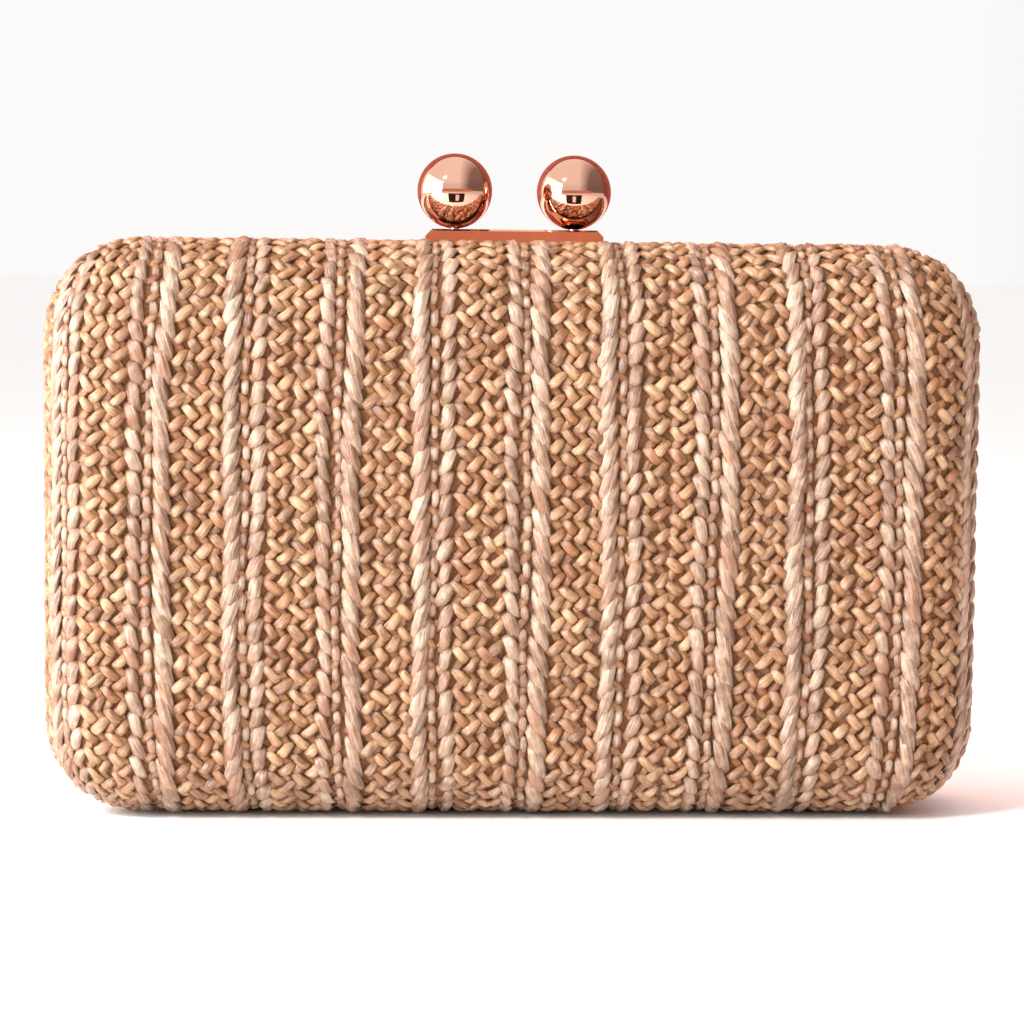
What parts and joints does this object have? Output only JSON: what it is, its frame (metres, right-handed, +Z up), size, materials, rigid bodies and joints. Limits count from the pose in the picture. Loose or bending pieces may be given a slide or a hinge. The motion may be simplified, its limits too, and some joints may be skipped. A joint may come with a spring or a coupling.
{
  "type": "clutch purse",
  "caption": "Hard rounded box clutch purse in ribbed woven straw, hinged along the bottom, with a rose-gold clasp bar and ball knobs on top.",
  "frame": {"origin": "under the middle of the closed purse, on the surface it stands on", "axes": "+X along the width to the right, +Y from the front face to the back face, +Z up; the halves close at y = 0"},
  "size_m": [0.2, 0.048, 0.1411],
  "materials": {
    "woven_straw": "twisted paper-straw yarn in a ribbed knit, golden tan with pinkish ribs",
    "rose_gold": "polished rose-gold plating",
    "satin_lining": "satin weave, champagne",
    "shell_plastic": "moulded, matte",
    "foam": "thin foam sheet",
    "steel": "plain bright steel"
  },
  "bodies": {
    "rear": {"rear_frame": "rose_gold", "rear_shell": "shell_plastic", "rear_padding": "foam", "rear_cover": "woven_straw", "rear_lining_wall": "satin_lining", "rear_lining_panel": "satin_lining", "rear_left_hinge_leaf": "rose_gold", "rear_right_hinge_leaf": "rose_gold", "rear_clasp_housing": "rose_gold", "rear_clasp_rivets": "rose_gold", "rear_latch_spring": "steel", "rear_slip_pocket": "satin_lining", "left_hinge_pin": "steel", "right_hinge_pin": "steel"},
    "front": {"front_frame": "rose_gold", "front_shell": "shell_plastic", "front_padding": "foam", "front_cover": "woven_straw", "front_lining_wall": "satin_lining", "front_lining_panel": "satin_lining", "front_left_hinge_leaf": "rose_gold", "front_right_hinge_leaf": "rose_gold", "front_clasp_housing": "rose_gold", "front_clasp_rivets": "rose_gold", "front_latch_spring": "steel"},
    "front_latch": {"front_latch_slide": "steel", "front_ball_knob": "rose_gold"},
    "rear_latch": {"rear_latch_slide": "steel", "rear_ball_knob": "rose_gold"}
  },
  "joints": [
    {"name": "opening_hinge", "type": "hinge", "parent": "rear", "child": "front", "pos_m": [0, 0, 0.0018], "axis": [1, 0, 0], "range_deg": [0, 50]},
    {"name": "front_ball_slide", "type": "slide", "parent": "front", "child": "front_latch", "axis": [1, 0, 0], "range_m": [0, 0.002], "stiffness_N_per_m": 1500, "springref_m": -0.001, "deforming": ["front_latch_spring"]},
    {"name": "rear_ball_slide", "type": "slide", "parent": "rear", "child": "rear_latch", "axis": [-1, 0, 0], "range_m": [0, 0.002], "stiffness_N_per_m": 1500, "springref_m": -0.001, "deforming": ["rear_latch_spring"]}
  ]
}
